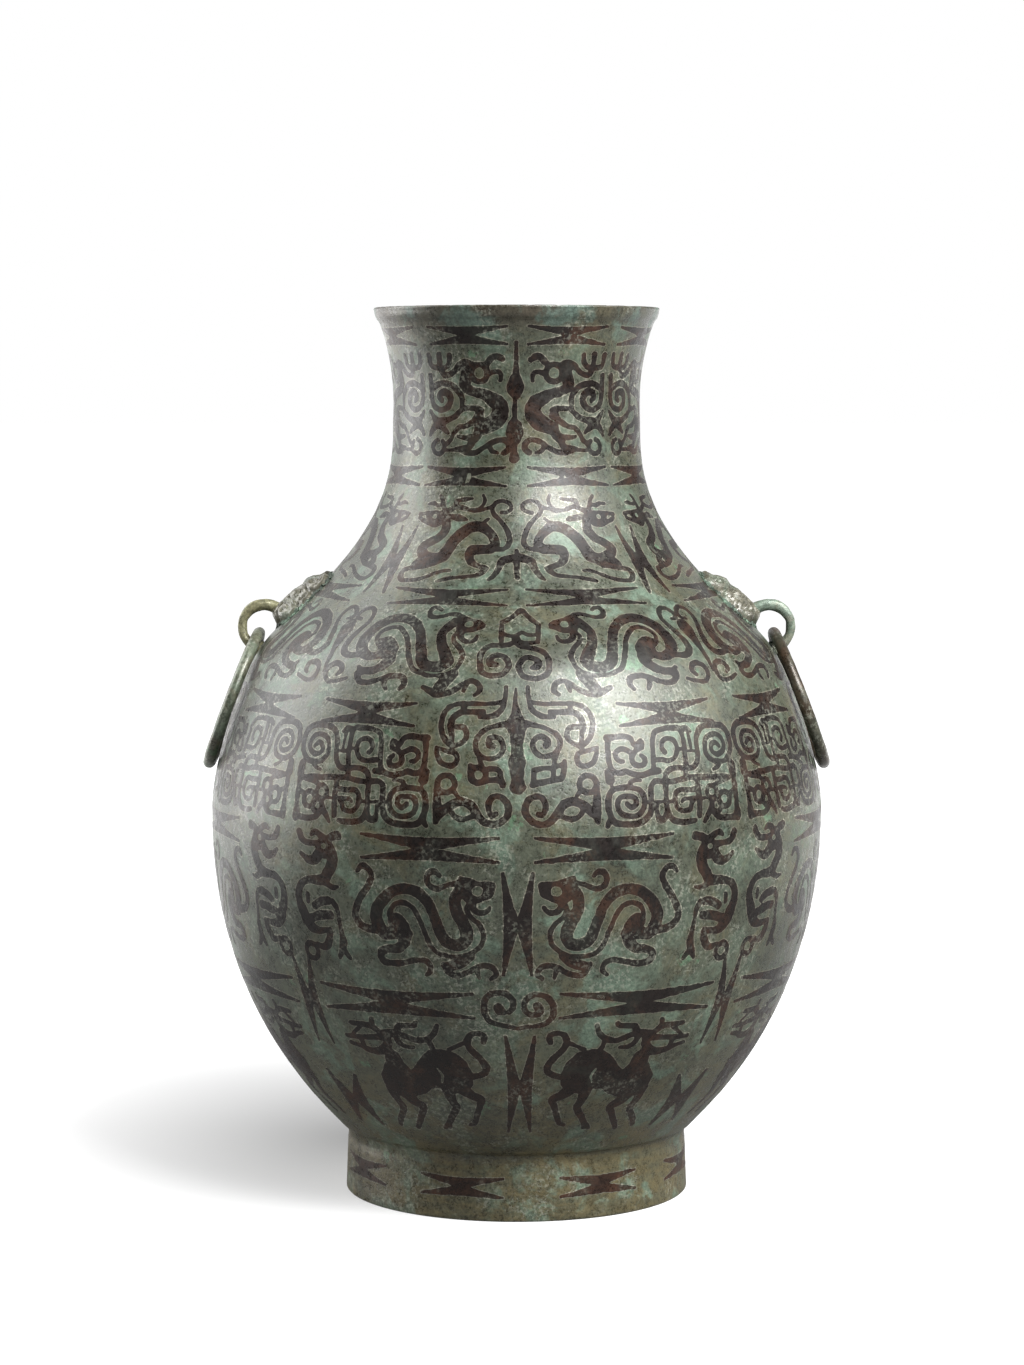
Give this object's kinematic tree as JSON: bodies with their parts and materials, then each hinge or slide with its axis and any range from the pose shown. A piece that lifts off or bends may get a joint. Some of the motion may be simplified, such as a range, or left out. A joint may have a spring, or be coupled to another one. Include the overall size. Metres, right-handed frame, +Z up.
{
  "type": "hu wine jar",
  "caption": "Tall pear-shaped bronze jar with a flared lip, swelling belly and hollow foot ring; animal masks on the shoulder hold loops with swinging rings.",
  "frame": {"origin": "on the floor under the jar's axis", "axes": "+Z up along the jar's axis, +X through the right-hand mask, loop and ring, -Y to the front in the picture"},
  "size_m": [0.249, 0.2422, 0.35],
  "materials": {
    "jar_bronze": "old grey-green patina with paler green patches, worn to a soft gloss",
    "mask_bronze": "grey-brown patina, green in the hollows and along its seam",
    "loop_bronze": "olive-brown patina with pale green bloom",
    "ring_bronze": "dark olive-brown patina, rubbed bright along the bar",
    "copper_inlay": "darkened copper sheet, reddish where it is worn"
  },
  "bodies": {
    "jar": {"vessel_body": "jar_bronze", "mask_right": "mask_bronze", "loop_right": "loop_bronze", "mask_left": "mask_bronze", "loop_left": "loop_bronze"},
    "ring_right": {"ring_right": "ring_bronze"},
    "ring_left": {"ring_left": "ring_bronze"}
  },
  "joints": [
    {"name": "ring_right_swing", "type": "hinge", "parent": "jar", "child": "ring_right", "pos_m": [0.10224, 0, 0.2216], "axis": [0, -1, 0], "range_deg": [0, 200]},
    {"name": "ring_left_swing", "type": "hinge", "parent": "jar", "child": "ring_left", "pos_m": [-0.10224, 0, 0.2216], "axis": [0, 1, 0], "range_deg": [0, 200]}
  ]
}
